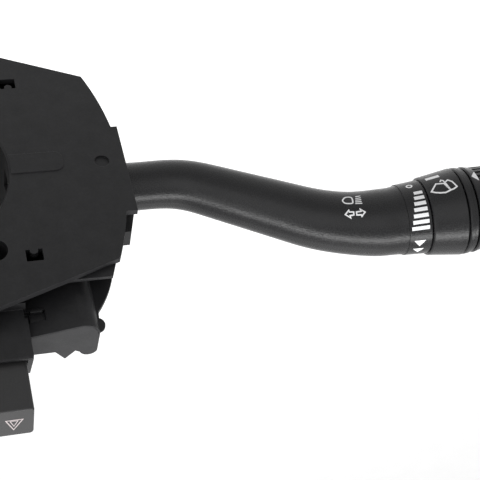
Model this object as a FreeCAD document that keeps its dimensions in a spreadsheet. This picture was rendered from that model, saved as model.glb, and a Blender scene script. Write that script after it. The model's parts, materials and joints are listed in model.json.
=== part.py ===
"""Combination stalk switch for a steering column: turn signal, beam, wiper, washer and hazard switch.

Millimetres and degrees. The frame is the installed one: +Z up, the lever points to -X, the driver sits
on the -Y side and the steering column runs along Y through the bore. The origin is on the bore's axis,
in the rear face that is screwed to the column.
"""
import FreeCAD, Part
import math
import os
import re

import Sketcher
from FreeCAD import Placement, Rotation, Vector

SIZES = {
    # casing
    "depth": 34.0,
    "cover_thick": 2.0,
    "flange_thick": 1.3,
    "flange_inset": 1.2,
    "wall": 1.8,
    "floor_thick": 2.4,
    "bore_radius": 30.1,
    "tube_wall": 2.2,
    "rim_chamfer": 0.8,
    # outline of the front cover
    "side_radius": 111.0,
    "side_reach": 66.0,
    "side_high": 40.6,
    "side_low": 37.7,
    "cover_high": 55.5,
    "cover_high_half": 16.0,
    "cover_low": 54.5,
    "cover_low_half": 22.0,
    "cover_right": 45.0,
    "cover_right_half": 34.0,
    "cover_shoulder_x": 38.0,
    "cover_shoulder_z": 46.5,
    "tab_reach": 67.2,
    "tab_top": 22.7,
    "tab_low": 13.5,
    # snap windows, marks and screw holes of the cover
    "window_wide": 5.1,
    "window_tall": 4.4,
    "window_x": 33.4,
    "window_low_x": 34.6,
    "window_near": 34.1,
    "tongue_half": 1.2,
    "tongue_reach": 2.0,
    "screw_x": 21.8,
    "screw_z": 33.1,
    "screw_head_radius": 4.2,
    "screw_hole_radius": 2.75,
    "screw_seat": 6.0,
    "pillar_radius": 6.2,
    "dimple_inset": 7.5,
    "dimple_z": 1.2,
    "dimple_radius": 2.35,
    "dimple_depth": 0.7,
    "panel_reach": 47.4,
    "panel_top": 3.7,
    "panel_low": 4.3,
    "panel_corner": 2.6,
    "panel_proud": 0.3,
    # rear housing
    "flange_corner_x": 55.4,
    "flange_corner_z": 45.4,
    "flange_step_x": 39.6,
    "pan_right": 41.0,
    "pan_right_half": 31.0,
    "pan_shoulder_x": 34.0,
    "pan_shoulder_z": 42.5,
    "pan_high": 51.0,
    "pan_high_half": 14.0,
    "pan_low": 50.0,
    "pan_low_half": 19.0,
    "pan_left": 57.0,
    "pan_left_top": 18.0,
    "pan_left_low": 33.0,
    "pan_left_shoulder_x": 46.0,
    "pan_left_shoulder_z": 39.5,
    "pan_step": 44.6,
    "pan_low_shoulder_x": 38.0,
    "mouth_reach": 64.5,
    "mouth_wall": 2.6,
    "mouth_clearance": 0.6,
    "guard_proud": 4.0,
    "guard_low_proud": 0.4,
    "guard_top": 26.6,
    "guard_front": 5.5,
    "guard_thick": 6.7,
    # switch box beside the hazard tower
    "box_right": 28.7,
    "box_left": 49.6,
    "box_top": 59.3,
    "box_front": 9.2,
    "box_nose_x": 43.9,
    "box_nose": 6.2,
    "box_corner": 10.5,
    "box_corner_radius": 5.2,
    "box_back": 18.3,
    "box_wall": 1.5,
    "box_foot": 34.0,
    "lid_thick": 2.2,
    "lid_lip": 0.5,
    "lug_x": 39.6,
    "lug_half": 3.0,
    "lug_deep": 4.0,
    "lug_notch": 0.4,
    "lobe_x": 46.6,
    "lobe_radius": 2.6,
    "bead_radius": 2.6,
    "bead_x": 49.0,
    "bead_z": 56.5,
    "web_reach": 56.6,
    "web_near": 50.4,
    "web_foot": 40.2,
    "web_top": 51.7,
    "web_curve": 40.0,
    "web_thick": 1.5,
    "latch_x": 31.2,
    "latch_z": 52.4,
    "latch_wide": 6.4,
    "latch_tall": 3.8,
    # hazard tower and button
    "tower_wall": 1.6,
    "tower_front": 6.2,
    "tower_gap": 0.4,
    "tower_side_gap": 0.4,
    "tower_top": 67.5,
    "tower_slope": 5.5,
    "tower_floor": 50.0,
    "tower_floor_thick": 2.0,
    "hazard_x": 21.2,
    "hazard_wide": 11.4,
    "hazard_deep": 13.4,
    "hazard_top": 83.4,
    "hazard_skirt": 57.0,
    "hazard_wall": 1.5,
    "hazard_travel": 4.0,
    "stem_side": 5.6,
    "stem_rod_radius": 1.6,
    "stem_foot": 46.4,
    "spring_seat": 60.0,
    "hazard_round": 1.2,
    "bridge_thick": 0.8,
    "bridge_half": 5.0,
    # lever bearing
    "lever_z": 1.9,
    "lever_depth": 13.0,
    "pivot_x": 42.5,
    "pivot_radius": 2.0,
    "turn_angle": 7.5,
    "cross_x": 51.5,
    "cross_radius": 1.5,
    "running_gap": 0.06,
    "part_gap": 0.1,
    "side_gap": 0.3,
    "hub_radius": 4.6,
    "hub_front": 6.5,
    "hub_back": 26.5,
    "cheek_inner": 5.0,
    "cheek_thick": 2.8,
    "cheek_reach": 54.9,
    "cheek_half": 4.2,
    "web_start": 46.0,
    "arm_half": 4.2,
    "arm_low": 19.0,
    "drive_pin_z": 15.0,
    "drive_pin_radius": 1.4,
    "shelf_wall": 1.4,
    # detent
    "plunger_radius": 2.2,
    "plunger_tip": 24.0,
    "plunger_back": 14.3,
    "plunger_bore_top": 8.8,
    "plunger_bore": 1.7,
    "plunger_hollow": 4.0,
    "track_gap": 0.3,
    "track_thick": 5.0,
    "track_half": 8.5,
    "notch_radius": 1.4,
    # turn signal contacts
    "slider_front": 18.4,
    "slider_back": 26.0,
    "slider_half_wide": 7.5,
    "slider_half_tall": 4.6,
    "rail_thick": 1.6,
    "contact_thick": 0.8,
    "contact_wide": 1.6,
    "contact_pitch": 4.6,
    "carrier_thick": 1.8,
    "carrier_top": 7.5,
    "carrier_low": 38.0,
    "carrier_left": 55.0,
    "carrier_right": 34.5,
    "shroud_reach": 10.5,
    "shroud_wall": 1.3,
    "shroud_wide": 17.6,
    "shroud_tall": 9.0,
    "shroud_a_z": 27.6,
    "shroud_b_z": 14.0,
    "shroud_x": 44.5,
    "blade_wide": 2.8,
    "blade_thick": 0.8,
    "blade_pitch": 4.8,
    "blade_reach": 5.5,
    # dimmer slider on the yoke
    "finger_radius": 1.2,
    "finger_reach": 9.6,
    "finger_offset": 0.6,
    "dimmer_front": 19.6,
    "dimmer_thick": 3.6,
    "dimmer_half_wide": 2.4,
    "dimmer_half_tall": 3.4,
    # cancelling pawl
    "pawl_x": 36.6,
    "pawl_z": 11.6,
    "pawl_pin_radius": 1.4,
    "pawl_hub_radius": 2.8,
    "pawl_front": 8.0,
    "pawl_thick": 6.0,
    "pawl_tip_half": 3.0,
    "pawl_flush": 0.5,
    "pawl_arm_in": 0.4,
    "pawl_spring_long": 3.0,
    # lever
    "neck_radius": 8.0,
    "neck_start": 57.6,
    "neck_run": 21.2,
    "rise_angle": 27.0,
    "rise_radius": 33.4,
    "rise_run": 32.9,
    "return_radius": 69.4,
    "knob_tilt": 6.5,
    "knob_rise": 1.2,
    "knob_run": 1.6,
    "elbow_radius": 10.35,
    "collar_radius": 11.65,
    "lever_wall": 2.0,
    "swell_run": 19.1,
    "root_run": 14.0,
    "root_gap": 0.35,
    "tang_half": 4.7,
    "tang_deep_half": 4.4,
    "tang_end": 48.0,
    "tang_flange": 1.2,
    "loom_radius": 1.8,
    "loom_start": 4.0,
    # knob stack, measured along its own axis from the end of the lever tube
    "collar_long": 7.5,
    "collar_lip": 0.2,
    "collar_end_radius": 12.35,
    "collar_wall": 2.0,
    "joint_line": 0.4,
    "ring_long": 11.7,
    "ring_start_radius": 13.1,
    "ring_end_radius": 14.65,
    "ring_wall": 2.2,
    "band_long": 3.1,
    "band_radius": 14.6,
    "band_step": 0.3,
    "knob_long": 15.5,
    "knob_start_radius": 14.5,
    "knob_grip_radius": 14.0,
    "knob_end_radius": 13.6,
    "knob_wall": 2.4,
    "knob_round": 1.5,
    "edge_break": 0.4,
    "rib_count": 36,
    "rib_depth": 0.45,
    "rib_radius": 0.6,
    "rib_start": 2.6,
    "rib_stop": 3.4,
    "spindle_radius": 5.0,
    "spindle_bore": 2.3,
    "spindle_seat": 4.0,
    "spring_well": 3.7,
    "hub_wall": 2.2,
    "board_thick": 1.6,
    "rotor_gap": 0.4,
    "rotor_thick": 1.4,
    "detent_deep": 3.6,
    "detent_x": 9.4,
    "ball_radius": 1.1,
    "washer_radius": 6.8,
    "washer_proud": 2.6,
    "washer_long": 9.0,
    "washer_travel": 2.2,
    "washer_rod_radius": 2.2,
    "washer_rod_start": 14.0,
    # springs
    "wire_radius": 0.3,
    "thin_wire_radius": 0.22,
}

PLACES = {
    "front": "-depth",
    "cover_back": "front + cover_thick",
    "flange_back": "cover_back + flange_thick",
    "floor_face": "-floor_thick",
    "tube_radius": "bore_radius + tube_wall",
    "side_centre": "side_radius - side_reach",
    "side_x_high": "side_centre - sqrt(side_radius^2 - side_high^2)",
    "side_x_low": "side_centre - sqrt(side_radius^2 - side_low^2)",
    "side_x_tab_top": "side_centre - sqrt(side_radius^2 - tab_top^2)",
    "side_x_tab_low": "side_centre - sqrt(side_radius^2 - tab_low^2)",
    "dimple_x": "tab_reach - dimple_inset",
    "guard_reach": "mouth_reach + guard_proud",
    "guard_low_reach": "mouth_reach + guard_low_proud",
    "lever_y": "front + lever_depth",
    "lever_swing": "(mouth_reach - pivot_x) * sin(turn_angle * 1deg)",
    "mouth_half": "neck_radius + lever_swing + mouth_clearance",
    "mouth_top": "lever_z + mouth_half",
    "mouth_low": "lever_z - mouth_half",
    "mouth_back": "lever_y + neck_radius + mouth_clearance",
    "tower_left": "-hazard_x - hazard_wide / 2 - tower_side_gap - tower_wall",
    "tower_right": "-hazard_x + hazard_wide / 2 + tower_side_gap + tower_wall",
    "tower_front_y": "front + tower_front",
    "cap_front": "tower_front_y + tower_wall + tower_gap",
    "cap_back": "cap_front + hazard_deep",
    "cap_mid": "(cap_front + cap_back) / 2",
    "tower_back_y": "cap_back + tower_gap + tower_wall",
    "tower_floor_top": "tower_floor + tower_floor_thick",
    "box_back_y": "front + box_back",
    "lid_foot": "box_top - lid_thick",
    "carrier_face": "floor_face - carrier_thick",
    "slider_z": "lever_z - drive_pin_z",
    "rail_gap": "slider_half_tall + side_gap",
    "contact_face": "carrier_face - contact_thick",
    "track_radius": "plunger_tip + track_gap",
    "dimmer_y": "front + dimmer_front",
    "dimmer_back": "dimmer_y + dimmer_thick",
    "shelf_face": "dimmer_back + side_gap",
    "shelf_back": "front + hub_back",
    "pawl_y": "front + pawl_front",
    "pawl_back": "pawl_y + pawl_thick",
    "hub_front_y": "front + hub_front",
    "ring_start": "collar_long + joint_line",
    "ring_stop": "ring_start + ring_long",
    "band_start": "ring_stop + joint_line",
    "band_stop": "band_start + band_long",
    "knob_start": "band_stop + joint_line",
    "knob_stop": "knob_start + knob_long",
    "spindle_stop": "knob_stop - washer_long - 1.5 * knob_wall",
    "hub_bore": "spindle_radius + running_gap",
    "hub_outer": "hub_bore + hub_wall",
    "collar_bore": "collar_radius - collar_wall",
    "ball_z": "ring_start - ball_radius / 2",
    "seat_radius": "collar_bore - side_gap - spindle_seat * (collar_radius - elbow_radius) / swell_run",
}

doc = FreeCAD.newDocument("stalk_switch")
sheet = doc.addObject("Spreadsheet::Sheet", "Sizes")
for row, (alias, size) in enumerate(SIZES.items(), start=1):
    sheet.set(f"A{row}", alias)
    sheet.set(f"B{row}", str(size))
    sheet.setAlias(f"B{row}", alias)
doc.recompute()

WORD = re.compile(r"[a-z][a-z_]*")


def expand(text):
    """Write every place word out in sizes."""
    def swap(match):
        word = match.group()
        return f"({expand(PLACES[word])})" if word in PLACES else word
    return WORD.sub(swap, str(text))


def bound(text):
    """The expression that ties a property to the sheet."""
    def swap(match):
        word = match.group()
        return f"Sizes.{word}" if word in SIZES else word
    return WORD.sub(swap, expand(text))


def value(text):
    """The number that an expression has now."""
    result = sheet.evalExpression(expand(text))
    return float(getattr(result, "Value", result))


def tie(thing, prop, text):
    thing.setExpression(prop, bound(text))


def rect(x_low, y_low, x_high, y_high):
    return [(x_low, y_low), (x_high, y_low), (x_high, y_high), (x_low, y_high)]


def frame_loop(points, grow):
    """A rectangle given by two opposite corners, moved out by grow on every side."""
    (x_low, y_low), (x_high, y_high) = points
    low = (f"{x_low} - ({grow})", f"{y_low} - ({grow})")
    high = (f"{x_high} + ({grow})", f"{y_high} + ({grow})")
    return rect(*low, *high)


def circle(x, y, radius):
    return ("circle", x, y, radius)


LEVER_SECTIONS = 16
PIECES = []
PLANES = {"XY": ("XY_Plane", 1), "YZ": ("YZ_Plane", 1), "XZ": ("XZ_Plane", -1)}


def new_body(name):
    body = doc.addObject("PartDesign::Body", name)
    body.Label = name
    return body


def keep(piece):
    """Put a finished piece on the list of pieces that make up the switch."""
    PIECES.append(piece)


def boxes(name, blocks):
    """One node of separate rectangular blocks, each given by its low and high corner."""
    members = []
    for low_x, low_y, low_z, high_x, high_y, high_z in blocks:
        block = doc.addObject("Part::Box", f"{name}_block")
        tie(block, "Length", f"({high_x}) - ({low_x})")
        tie(block, "Width", f"({high_y}) - ({low_y})")
        tie(block, "Height", f"({high_z}) - ({low_z})")
        for letter, text in (("x", low_x), ("y", low_y), ("z", low_z)):
            tie(block, f"Placement.Base.{letter}", text)
        members.append(block)
    group = doc.addObject("Part::Compound", name)
    group.Links = members
    group.Label = name
    doc.recompute()
    keep(group)


def hold_point(sketch, geometry, end, point, tag):
    for axis, kind, text in (("x", "DistanceX", point[0]), ("y", "DistanceY", point[1])):
        index = sketch.addConstraint(Sketcher.Constraint(kind, -1, 1, geometry, end, value(text)))
        name = f"{axis}_{tag}"
        sketch.renameConstraint(index, name)
        tie(sketch, f"Constraints.{name}", text)


def hold_radius(sketch, geometry, text, tag):
    index = sketch.addConstraint(Sketcher.Constraint("Radius", geometry, value(text)))
    sketch.renameConstraint(index, tag)
    tie(sketch, f"Constraints.{tag}", text)


def draw_circle(sketch, shape):
    _, x, y, radius = shape
    middle = Vector(value(x), value(y), 0)
    round_edge = Part.Circle(middle, Vector(0, 0, 1), value(radius))
    geometry = sketch.addGeometry(round_edge, False)
    hold_point(sketch, geometry, 3, (x, y), f"middle_{geometry}")
    hold_radius(sketch, geometry, radius, f"radius_{geometry}")


def draw_loop(sketch, points):
    """A closed outline. A third entry is the radius of the edge that arrives at the point,
    with a minus sign where that arc turns clockwise."""
    corners = [(value(point[0]), value(point[1])) for point in points]
    first = sketch.GeometryCount
    ends = []
    for index, (start_x, start_y) in enumerate(corners):
        target = points[(index + 1) % len(points)]
        stop_x, stop_y = corners[(index + 1) % len(points)]
        if len(target) < 3:
            line = Part.LineSegment(Vector(start_x, start_y, 0), Vector(stop_x, stop_y, 0))
            sketch.addGeometry(line, False)
            ends.append((1, 2))
            continue
        side = -1 if target[2].startswith("-") else 1
        radius = value(target[2].lstrip("-"))
        chord = math.hypot(stop_x - start_x, stop_y - start_y)
        rise = side * math.sqrt(max(0.0, radius ** 2 - chord ** 2 / 4)) / chord
        middle_x = (start_x + stop_x) / 2 - (stop_y - start_y) * rise
        middle_y = (start_y + stop_y) / 2 + (stop_x - start_x) * rise
        start_turn = math.atan2(start_y - middle_y, start_x - middle_x)
        stop_turn = math.atan2(stop_y - middle_y, stop_x - middle_x)
        whole = Part.Circle(Vector(middle_x, middle_y, 0), Vector(0, 0, 1), radius)
        turns = (start_turn, stop_turn) if side > 0 else (stop_turn, start_turn)
        sketch.addGeometry(Part.ArcOfCircle(whole, *turns), False)
        ends.append((1, 2) if side > 0 else (2, 1))
    for index, point in enumerate(points):
        following = (index + 1) % len(points)
        join = Sketcher.Constraint("Coincident", first + index, ends[index][1],
                                   first + following, ends[following][0])
        sketch.addConstraint(join)
        hold_point(sketch, first + index, ends[index][0], point, f"corner_{first + index}")
        target = points[following]
        if len(target) == 3:
            hold_radius(sketch, first + index, target[2].lstrip("-"), f"bend_{first + index}")


def new_sketch(body, plane, offset, shapes):
    role, sign = PLANES[plane]
    sketch = body.newObject("Sketcher::SketchObject", f"{body.Name}_outline")
    support = [feature for feature in body.Origin.OriginFeatures if feature.Role == role]
    sketch.AttachmentSupport = (support[0], "")
    sketch.MapMode = "FlatFace"
    tie(sketch, "AttachmentOffset.Base.z", f"{sign} * ({offset})")
    for shape in shapes:
        if shape[0] == "circle":
            draw_circle(sketch, shape)
        else:
            draw_loop(sketch, shape)
    return sketch


def add(body, plane, start, stop, *shapes):
    """Extrude outlines from start to stop along the plane's world axis."""
    sketch = new_sketch(body, plane, start, shapes)
    pad = body.newObject("PartDesign::Pad", f"{body.Name}_pad")
    pad.Profile = sketch
    pad.Reversed = PLANES[plane][1] < 0
    pad.Refine = False
    tie(pad, "Length", f"({stop}) - ({start})")
    doc.recompute()
    return pad


def cut(body, plane, start, stop, *shapes):
    """Cut outlines out from start to stop along the plane's world axis."""
    before = body.Shape.Volume
    sketch = new_sketch(body, plane, start, shapes)
    pocket = body.newObject("PartDesign::Pocket", f"{body.Name}_cut")
    pocket.Profile = sketch
    pocket.Reversed = PLANES[plane][1] > 0
    pocket.Refine = False
    tie(pocket, "Length", f"({stop}) - ({start})")
    doc.recompute()
    if body.Shape.Volume >= before:
        raise ValueError(f"a cut in {body.Label} removes nothing: {pocket.State}, {sketch.State}")
    return pocket


def spin(body, *shapes):
    """Turn profiles (radius, height) round the body's own Z axis."""
    sketch = new_sketch(body, "XZ", "0", shapes)
    turned = body.newObject("PartDesign::Revolution", f"{body.Name}_spin")
    turned.Profile = sketch
    turned.ReferenceAxis = (sketch, ["V_Axis"])
    turned.Angle = 360
    doc.recompute()
    return turned


def spin_out(body, *shapes):
    before = body.Shape.Volume
    sketch = new_sketch(body, "XZ", "0", shapes)
    groove = body.newObject("PartDesign::Groove", f"{body.Name}_groove")
    groove.Profile = sketch
    groove.ReferenceAxis = (sketch, ["V_Axis"])
    groove.Angle = 360
    doc.recompute()
    if body.Shape.Volume >= before:
        raise ValueError(f"a groove in {body.Label} removes nothing")
    return groove


def soften(body, kind, size, test):
    """Fillet or chamfer the edges that pass the test."""
    base = body.Tip
    edges = [f"Edge{number}" for number, edge in enumerate(body.Shape.Edges, start=1) if test(edge)]
    if not edges:
        raise ValueError(f"no edge of {body.Label} is softened")
    feature = body.newObject(f"PartDesign::{kind}", f"{body.Name}_{kind.lower()}")
    feature.Base = (base, edges)
    tie(feature, "Radius" if kind == "Fillet" else "Size", size)
    doc.recompute()
    return feature


def all_at(edge, axis, text):
    """Whether an edge lies wholly at one height along an axis."""
    height = value(text)
    return all(abs(getattr(vertex.Point, axis) - height) < 1e-4 for vertex in edge.Vertexes)


def pin(name, radius, start, stop, axis, x="0", y="0", z="0"):
    """A plain round pin along Y or Z."""
    rod = doc.addObject("Part::Cylinder", name)
    rod.Label = name
    tie(rod, "Radius", radius)
    tie(rod, "Height", f"({stop}) - ({start})")
    places = {"x": x, "y": y, "z": z}
    places[axis] = start
    if axis == "y":
        rod.Placement = Placement(Vector(), Rotation(Vector(1, 0, 0), -90))
    for letter, text in places.items():
        tie(rod, f"Placement.Base.{letter}", text)
    doc.recompute()
    keep(rod)


def coil(name, radius, wire, turns, start, stop, axis, x="0", y="0", z="0"):
    """A helical spring whose wire centre runs on a radius, from start to stop along Y or Z."""
    helix = doc.addObject("Part::Helix", f"{name}_path")
    tie(helix, "Radius", radius)
    tie(helix, "Height", f"({stop}) - ({start}) - 2 * ({wire})")
    tie(helix, "Pitch", f"(({stop}) - ({start}) - 2 * ({wire})) / {turns}")
    section = doc.addObject("Part::Circle", f"{name}_wire")
    tie(section, "Radius", wire)
    section.Placement = Placement(Vector(), Rotation(Vector(1, 0, 0), 90))
    tie(section, "Placement.Base.x", radius)
    spring = doc.addObject("Part::Sweep", name)
    spring.Sections = [section]
    spring.Spine = (helix, ["Edge1"])
    spring.Solid = True
    spring.Frenet = True
    spring.Label = name
    places = {"x": x, "y": y, "z": z}
    places[axis] = f"{start} + {wire}"
    if axis == "y":
        spring.Placement = Placement(Vector(), Rotation(Vector(1, 0, 0), -90))
    for letter, text in places.items():
        tie(spring, f"Placement.Base.{letter}", text)
    doc.recompute()
    keep(spring)
    return spring


# Course of the lever: a straight neck, a bend up, a straight rise, and one bend back that also
# turns the knob towards the driver. The knob's own frame starts where the lever tube ends.

neck_direction = Vector(-1, 0, 0)
rise_direction = Vector(-math.cos(math.radians(value("rise_angle"))), 0,
                        math.sin(math.radians(value("rise_angle"))))
tilt = math.radians(value("knob_tilt"))
lift = math.radians(value("knob_rise"))
knob_direction = Vector(-math.cos(tilt) * math.cos(lift), -math.sin(tilt), math.cos(tilt) * math.sin(lift))


def course():
    """The stretches of the lever's centre line: kind, length, start point and start direction."""
    stretches = []
    point = Vector(-value("neck_start"), value("lever_y"), value("lever_z"))
    heading = neck_direction
    runs = [
        ("straight", value("neck_run"), None, 0),
        ("bend", None, rise_direction, value("rise_radius")),
        ("straight", value("rise_run"), None, 0),
        ("bend", None, knob_direction, value("return_radius")),
        ("straight", value("knob_run"), None, 0),
    ]
    for kind, length, target, radius in runs:
        if kind == "straight":
            stretches.append((kind, length, point, heading, None, 0))
            point = point + heading * length
            continue
        turn = heading.getAngle(target)
        inward = (target - heading * heading.dot(target)).normalize()
        stretches.append((kind, radius * turn, point, heading, inward, radius))
        point = point + heading * (radius * math.sin(turn)) + inward * (radius * (1 - math.cos(turn)))
        heading = target
    return stretches, point


LEVER_COURSE, KNOB_ORIGIN = course()
LEVER_LENGTH = sum(stretch[1] for stretch in LEVER_COURSE)


def station(distance):
    """Point and direction of the lever's centre line at a distance from its inner end."""
    left = distance
    for kind, length, point, heading, inward, radius in LEVER_COURSE:
        if left <= length or kind == "straight" and point == LEVER_COURSE[-1][2]:
            if kind == "straight":
                return point + heading * left, heading
            turn = left / radius
            place = point + heading * (radius * math.sin(turn)) + inward * (radius * (1 - math.cos(turn)))
            return place, heading * math.cos(turn) + inward * math.sin(turn)
        left -= length
    return KNOB_ORIGIN, knob_direction


def facing(direction):
    """The rotation that turns +Z into a direction and keeps +Y towards the driver's side."""
    across = Vector(0, 1, 0).cross(direction).normalize()
    return Rotation(across, direction.cross(across), direction, "ZYX")


KNOB_FRAME = Placement(KNOB_ORIGIN, facing(knob_direction))


def front_cover():
    """The black plate that faces the driver, with the column bore, snap windows and screw holes."""
    body = new_body("front_cover")
    outline = [
        ("-cover_low_half", "-cover_low"),
        ("cover_low_half", "-cover_low"),
        ("cover_shoulder_x", "-cover_shoulder_z"),
        ("cover_right", "-cover_right_half"),
        ("cover_right", "cover_right_half"),
        ("cover_shoulder_x", "cover_shoulder_z"),
        ("cover_high_half", "cover_high"),
        ("-cover_high_half", "cover_high"),
        ("side_x_high", "side_high"),
        ("side_x_tab_top", "tab_top", "side_radius"),
        ("-tab_reach", "tab_top"),
        ("-tab_reach", "-tab_low"),
        ("side_x_tab_low", "-tab_low"),
        ("side_x_low", "-side_low", "side_radius"),
    ]
    holes = [circle("0", "0", "bore_radius")]
    holes += [circle(f"{side} * screw_x", "screw_z", "screw_head_radius") for side in (-1, 1)]
    add(body, "XZ", "front", "cover_back", outline, *holes)
    radius = value("bore_radius")
    soften(body, "Chamfer", "rim_chamfer", lambda edge: all_at(edge, "y", "front")
           and hasattr(edge.Curve, "Radius") and abs(edge.Curve.Radius - radius) < 1e-4)
    for x, side in (("-window_x", 1), ("-window_low_x", -1)):
        near = f"{side} * window_near"
        far = f"{side} * (window_near + window_tall)"
        neck = f"{side} * (window_near + tongue_reach - tongue_half)"
        turn = "-1.04 * tongue_half" if side > 0 else "1.04 * tongue_half"
        window = [
            (f"{x} - window_wide / 2", near),
            (f"{x} - tongue_half", near),
            (f"{x} - tongue_half", neck),
            (f"{x} + tongue_half", neck, turn),
            (f"{x} + tongue_half", near),
            (f"{x} + window_wide / 2", near),
            (f"{x} + window_wide / 2", far),
            (f"{x} - window_wide / 2", far),
        ]
        cut(body, "XZ", "front", "cover_back", window)
    panel = [
        ("-bore_radius + 2", "-panel_low"),
        ("-bore_radius + 2", "panel_top"),
        ("-panel_reach + panel_corner", "panel_top"),
        ("-panel_reach", "panel_top - panel_corner", "panel_corner"),
        ("-panel_reach", "-panel_low + panel_corner"),
        ("-panel_reach + panel_corner", "-panel_low", "panel_corner"),
    ]
    add(body, "XZ", "front - panel_proud", "front", panel)
    cut(body, "XZ", "front - panel_proud", "front", circle("0", "0", "bore_radius + rim_chamfer"))
    cut(body, "XZ", "front", "front + dimple_depth", circle("-dimple_x", "dimple_z", "dimple_radius"))
    keep(body)


def rear_housing():
    """The black casing behind the cover: pan, bore tube, lever mouth, screw pillars, switch box, tower."""
    body = new_body("rear_housing")
    flange = [
        ("-cover_low_half + flange_inset", "-cover_low + flange_inset"),
        ("cover_low_half - flange_inset", "-cover_low + flange_inset"),
        ("cover_shoulder_x - flange_inset", "-cover_shoulder_z + flange_inset"),
        ("cover_right - flange_inset", "-cover_right_half + flange_inset"),
        ("cover_right - flange_inset", "cover_right_half - flange_inset"),
        ("cover_shoulder_x - flange_inset", "cover_shoulder_z - flange_inset"),
        ("cover_high_half - flange_inset", "cover_high - flange_inset"),
        ("-cover_high_half + flange_inset", "cover_high - flange_inset"),
        ("-flange_step_x", "flange_corner_z"),
        ("-flange_corner_x", "flange_corner_z"),
        ("side_x_high + flange_inset / 4", "side_high - 2 * flange_inset"),
        ("side_x_low + flange_inset", "-side_low + flange_inset", "side_radius"),
    ]
    add(body, "XZ", "cover_back", "flange_back", flange)
    pan = [
        ("-pan_low_half", "-pan_low"),
        ("pan_low_half", "-pan_low"),
        ("pan_shoulder_x", "-pan_shoulder_z"),
        ("pan_right", "-pan_right_half"),
        ("pan_right", "pan_right_half"),
        ("pan_shoulder_x", "pan_shoulder_z"),
        ("pan_high_half", "pan_high"),
        ("-box_right", "pan_high"),
        ("-box_right", "pan_step"),
        ("-pan_left_shoulder_x", "pan_left_shoulder_z"),
        ("-pan_left", "pan_left_top"),
        ("-pan_left", "-pan_left_low"),
        ("-pan_low_shoulder_x", "-pan_shoulder_z"),
    ]
    add(body, "XZ", "flange_back", "0", pan)
    tower = [("tower_left", "tower_front_y"), ("tower_right", "tower_back_y")]
    add(body, "XY", "pan_high - 2 * wall", "tower_top", frame_loop(tower, "0"))
    box = [
        ("tower_left + tower_wall / 2", "front + box_front"),
        ("tower_left + tower_wall / 2", "box_back_y"),
        ("-box_left", "box_back_y"),
        ("-box_left", "front + box_corner"),
        ("-box_nose_x", "front + box_nose", "box_corner_radius"),
    ]
    add(body, "XY", "box_foot", "box_top", box)
    web = [
        ("-box_left + box_wall", "box_foot"),
        ("-box_left + box_wall", "box_top"),
        ("-box_left", "box_top"),
        ("-web_near", "web_top"),
        ("-web_reach", "web_foot", "web_curve"),
        ("-web_reach", "side_high - 4 * flange_inset"),
        ("-pan_left_shoulder_x", "box_foot"),
    ]
    add(body, "XZ", "front + box_corner", "front + box_corner + web_thick", web)
    add(body, "XZ", "front + box_corner", "front + box_corner + web_thick",
        circle("-bead_x", "bead_z", "bead_radius"))
    mouth = rect("-mouth_reach", "mouth_low - mouth_wall", "-pan_left + wall", "mouth_top + mouth_wall")
    add(body, "XZ", "flange_back", "mouth_back + mouth_wall", mouth)
    guard = [
        ("-pan_left", "mouth_top"),
        ("-pan_left", "guard_top"),
        ("-guard_low_reach", "guard_top"),
        ("-guard_reach", "mouth_top + mouth_wall / 2"),
    ]
    add(body, "XZ", "front + guard_front", "front + guard_front + guard_thick", guard)
    slope = [
        ("tower_front_y + tower_wall", "tower_top"),
        ("tower_back_y", "tower_top - tower_slope"),
        ("tower_back_y", "tower_top"),
    ]
    cut(body, "YZ", "tower_left", "tower_right", slope)
    housing_hollows(body)
    housing_fittings(body)
    keep(body)


def housing_hollows(body):
    """The rooms inside the casing."""
    room = [
        ("-pan_low_half + wall / 2", "-pan_low + wall"),
        ("pan_low_half - wall / 2", "-pan_low + wall"),
        ("pan_shoulder_x - wall", "-pan_shoulder_z + wall"),
        ("pan_right - wall", "-pan_right_half + wall / 2"),
        ("pan_right - wall", "pan_right_half - wall / 2"),
        ("pan_shoulder_x - wall", "pan_shoulder_z - wall"),
        ("pan_high_half - wall / 2", "tower_floor - 4 * wall"),
        ("-box_right", "tower_floor - 4 * wall"),
        ("-pan_left_shoulder_x + wall", "pan_left_shoulder_z - wall"),
        ("-pan_left + wall", "pan_left_top - wall / 2"),
        ("-pan_left + wall", "-pan_left_low + wall / 2"),
        ("-pan_low_shoulder_x + wall / 2", "-pan_shoulder_z + wall"),
    ]
    cut(body, "XZ", "cover_back", "floor_face", room)
    mouth = rect("-mouth_reach - wall", "mouth_low", "-pan_left + 2 * wall", "mouth_top")
    cut(body, "XZ", "cover_back", "mouth_back", mouth)
    tower = [("tower_left + tower_wall", "tower_front_y + tower_wall"),
             ("tower_right - tower_wall", "tower_back_y - tower_wall")]
    cut(body, "XY", "tower_floor_top", "tower_top", frame_loop(tower, "0"))
    cut(body, "XY", "pan_left_shoulder_z - 2 * wall", "tower_floor", frame_loop(tower, "-wall / 2"))
    box = [
        ("-box_right - box_wall", "front + box_front + box_wall"),
        ("-box_right - box_wall", "box_back_y - box_wall"),
        ("-box_left + box_wall", "box_back_y - box_wall"),
        ("-box_left + box_wall", "front + box_corner + box_wall / 2"),
        ("-box_nose_x", "front + box_nose + box_wall", "box_corner_radius - box_wall / 2"),
    ]
    cut(body, "XY", "pan_left_shoulder_z - 2 * wall", "box_top", box)
    behind = [
        ("-box_right - lid_lip", "front + box_front + lid_lip / 2"),
        ("-box_right - lid_lip", "box_back_y + wall"),
        ("-bead_x - 2 * bead_radius", "box_back_y + wall"),
        ("-bead_x - 2 * bead_radius", "front + box_corner + web_thick / 2"),
        ("-box_left + lid_lip", "front + box_corner + web_thick / 2"),
        ("-box_left + lid_lip", "front + box_corner"),
        ("-box_nose_x", "front + box_nose + lid_lip", "box_corner_radius - lid_lip"),
    ]
    cut(body, "XY", "lid_foot", "box_top + bead_radius", behind)


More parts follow.
